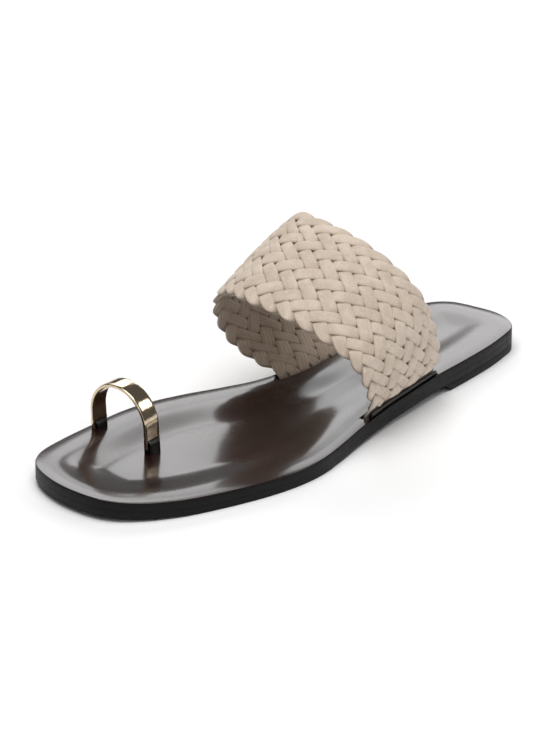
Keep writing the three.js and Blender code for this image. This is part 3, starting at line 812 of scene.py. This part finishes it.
def tab(side):
    """A strip outside the band from the slot up, as rings round it: up its inner face, over
    the top edge, down its outer face."""
    rise = np.linspace(0, 1, TAB_UP)
    up = np.concatenate([rise, rise[::-1]]) * TAB_TOP
    steps = np.broadcast_to(up if side > 0 else LAST_STEP - up, (TAB_ALONG, 2 * TAB_UP))
    reach = STRANDS - TAB_SHORT[side]
    lines = np.broadcast_to(np.linspace(-reach, reach, TAB_ALONG)[:, None], steps.shape)
    near, far = TAB_GAP, TAB_GAP + TAB_THICK
    out = np.concatenate([np.full(TAB_UP - 1, near), [near + TAB_SOFT, far - TAB_SOFT],
                          np.full(TAB_UP - 1, far)])
    return (look_up(band, steps, lines)
            + look_up(band_normal, steps, lines) * out[None, :, None])


def tab_leather():
    """Dark brown, nearly dull, with a soft grain."""
    finish = Finish("brown_tab_leather", Coat_Weight=0.1)
    place = finish.place()
    tone = finish.noise(place, 120, detail=4)
    grain = finish.noise(place, 1400, detail=3)
    finish.drive(
        Base_Color=finish.mix(tone, linear("17100d"), linear("241a16")),
        Roughness=finish.range(grain, 0.3, 0.7, 0.4, 0.58),
        Normal=finish.bump(grain, 0.04 * MM, after=finish.bump(tone, 0.1 * MM)),
    )
    return finish.material


tab_brown = tab_leather()
for name, side in (("lateral", 1), ("medial", -1)):
    piece = make_piece(f"tab_{name}", [tab(side)], [f"strap_tab_{name}"])
    keep_creases(piece, 50)
    piece.data.materials.append(tab_brown)

# %% [markdown]
# ## Toe ring
#
# The ring is a flat brass band bent to an arch, with its edges rounded by polishing. In each
# foot a slot leaves two thin posts and a bar, and the leather loop goes over the bar. Each of
# these is the same thing: a rounded rectangle carried along a path.


# %% Bars along a path
def rounded_bar(path, across, half_across, half_thick, corner=4.0, count=28):
    """A bar whose section is a squarish oval: its width lies in the fixed direction across,
    and its thickness is square to both that and the path."""
    in_width, in_thickness = squarish_oval(corner, count)
    thick = unit(np.cross(np.gradient(path, axis=0), across))
    return (path[:, None] + np.asarray(across) * half_across * in_width[None, :, None]
            + thick[:, None] * half_thick * in_thickness[None, :, None])


def arch_path(radius, foot, spring, legs=10, bend=60):
    """Up one leg, round a half circle and down the other, in the XZ plane."""
    turn = np.linspace(0, math.pi, bend)
    curve = np.stack([radius * np.cos(turn), 0 * turn, spring + radius * np.sin(turn)], -1)
    leg = np.linspace(foot, spring, legs, endpoint=False)
    up = np.stack([np.full(legs, radius), 0 * leg, leg], -1)
    down = np.stack([np.full(legs, -radius), 0 * leg, leg[::-1]], -1)
    return np.vstack([up, curve, down])


# %% Place of the ring
ring_y = from_toe(RING_FROM_TOE)
ring_base = np.array([RING_X, ring_y, float(underside(ring_y)) + RIM_TOP])
cos_turn, sin_turn = math.cos(RING_TURN), math.sin(RING_TURN)
cos_lean, sin_lean = math.cos(RING_LEAN), math.sin(RING_LEAN)
RING_AXES = np.array([
    (cos_turn, sin_turn, 0),
    (-sin_turn * cos_lean, cos_turn * cos_lean, sin_lean),
    (sin_turn * sin_lean, -cos_turn * sin_lean, cos_lean),
])


def stand_ring(points):
    """From the ring's own axes to the sandal's: leaned towards the toe, turned, and set on
    the footbed."""
    return ring_base + points @ RING_AXES


RING_MID = RING_RADIUS + RING_THICK / 2
LOOP_CENTRE = RING_LIFT + RING_BAR
LOOP_MID = RING_THICK / 2 + SEAM + LOOP_THICK / 2
WINDOW_TOP = LOOP_CENTRE + LOOP_MID + LOOP_THICK / 2 + SEAM
ACROSS_RING = (0, 1, 0)

# %% Ring
POST_TOP, BAR_HALF, FOOT_POINTS = WINDOW_TOP + 0.4 * MM, RING_BAND / 2 - 0.3 * MM, 8
BAR_MID, POST_MID = RING_LIFT + RING_BAR / 2, (RING_BAND - RING_POST) / 2
arch = rounded_bar(arch_path(RING_MID, WINDOW_TOP, RING_LIFT + RING_LEG), ACROSS_RING,
                   RING_BAND / 2, RING_THICK / 2, corner=6)
feet = []
for x in (RING_MID, -RING_MID):
    for y in (POST_MID, -POST_MID):
        post = np.linspace((x, y, RING_LIFT), (x, y, POST_TOP), FOOT_POINTS)
        feet.append(rounded_bar(post, ACROSS_RING, RING_POST / 2, RING_THICK / 2 - 0.02 * MM))
    bar = np.linspace((x, -BAR_HALF, BAR_MID), (x, BAR_HALF, BAR_MID), FOOT_POINTS)
    feet.append(rounded_bar(bar, (0, 0, 1), RING_BAR / 2, RING_THICK / 2 - 0.03 * MM))
ring = make_piece("toe_ring_band", [stand_ring(g) for g in [arch, *feet]], ["toe_ring"])
keep_creases(ring, 60)


def polished_brass():
    """Pale gold with shallow dents and a faint haze from wear."""
    finish = Finish("polished_pale_brass", Metallic=1.0)
    place = finish.place()
    dents = finish.noise(place, 130, detail=2)
    haze = finish.noise(place, 500, detail=4)
    finish.drive(
        Base_Color=finish.mix(haze, linear("d9c8ad"), linear("c6b296")),
        Roughness=finish.range(haze, 0.35, 0.7, 0.08, 0.16),
        Normal=finish.bump(dents, 0.12 * MM),
    )
    return finish.material


ring.data.materials.append(polished_brass())


# %% Leather loops
def loop_leather():
    """Black, a little glossy, with a fine grain."""
    finish = Finish("black_loop_leather", Coat_Weight=0.15)
    grain = finish.noise(finish.place(), 1500, detail=3)
    finish.drive(
        Base_Color=finish.mix(grain, linear("0b0a09"), linear("181513")),
        Roughness=finish.range(grain, 0.3, 0.7, 0.36, 0.55),
        Normal=finish.bump(grain, 0.05 * MM),
    )
    return finish.material


loop_black = loop_leather()
LOOP_WIDTH = RING_BAND - 2 * RING_POST - 2 * SEAM
LOOP_FOOT = -TOE_HOLLOW["depth"] - LOOP_POCKET / 2
for name, side in (("lateral", 1), ("medial", -1)):
    path = arch_path(LOOP_MID, LOOP_FOOT, LOOP_CENTRE, legs=8, bend=24)
    strip = rounded_bar(path + (side * RING_MID, 0, 0), ACROSS_RING, LOOP_WIDTH / 2,
                        LOOP_THICK / 2, corner=3.5)
    piece = make_piece(f"loop_{name}", [stand_ring(strip)], [f"toe_loop_{name}"])
    keep_creases(piece, 60)
    piece.data.materials.append(loop_black)

# %% [markdown]
# ## Studio
#
# A pale floor, one wide softbox above and a weaker one in front. The polished footbed mirrors
# what stands behind the sandal. Two panels there make its bright ends, and the gap between
# them its dark middle. A small one higher up lights the hollow's far slope, and one more on
# the side gives the ring its highlight.

# %% Floor and sky
FLOOR_HALF, SKY = 4, 0.12
floor_mesh = bpy.data.meshes.new("floor")
floor_mesh.from_pydata([(x * FLOOR_HALF, y * FLOOR_HALF, 0)
                        for x, y in ((-1, -1), (1, -1), (1, 1), (-1, 1))], [], [(0, 1, 2, 3)])
floor = bpy.data.objects.new("floor", floor_mesh)
bpy.context.scene.collection.objects.link(floor)
pale = Finish("pale_floor", Roughness=0.9)
pale.drive(Base_Color=linear("fafafa"))
floor.data.materials.append(pale.material)

scene = bpy.context.scene
scene.view_settings.view_transform = "Standard"
world = bpy.data.worlds.new("studio")
scene.world = world
world.use_nodes = True
sky = world.node_tree.nodes["Background"]
sky.inputs["Color"].default_value = (1, 1, 1, 1)
sky.inputs["Strength"].default_value = SKY


# %% Camera and softboxes
def place_facing(name, data, azimuth, elevation, distance, target=(0, 0, 0)):
    """An object that looks at the target from a direction in degrees. Azimuth 0 is in front of
    the toe, and it grows towards the outer side."""
    a, e = math.radians(azimuth), math.radians(elevation)
    away = Vector((math.sin(a) * math.cos(e), -math.cos(a) * math.cos(e), math.sin(e)))
    thing = bpy.data.objects.new(name, data)
    thing.location = Vector(target) + away * distance
    thing.rotation_euler = (-away).to_track_quat("-Z", "Y").to_euler()
    bpy.context.scene.collection.objects.link(thing)
    return thing


TARGET, LENS, NEAR_CLIP = (-0.0375, 0.0186, 0.008), 204.7, 0.05
camera = place_facing("camera", bpy.data.cameras.new("camera"), 49, 24, 1.8, TARGET)
camera.data.lens, camera.data.clip_start = LENS, NEAR_CLIP
scene.camera = camera

SOFTBOXES = (
    # name, azimuth, elevation, distance, width, height, power in watts
    ("overhead", 30, 78, 1.7, 1.5, 1.5, 26),
    ("front_fill", 60, 38, 2.0, 1.2, 0.9, 5),
    ("toe_panel", 243, 33.5, 1.8, 0.78, 0.96, 5.6),
    ("heel_panel", 214, 25, 1.8, 0.78, 0.7, 4.2),
    ("high_panel", 226, 40, 1.8, 0.7, 0.36, 0.9),
    ("ring_panel", 138, 34, 1.8, 0.5, 0.6, 3),
)
for name, azimuth, elevation, distance, width, height, power in SOFTBOXES:
    lamp = bpy.data.lights.new(name, "AREA")
    lamp.shape, lamp.size, lamp.size_y, lamp.energy = "RECTANGLE", width, height, power
    place_facing(name, lamp, azimuth, elevation, distance)
print("Lights:", ", ".join(name for name, *_ in SOFTBOXES))
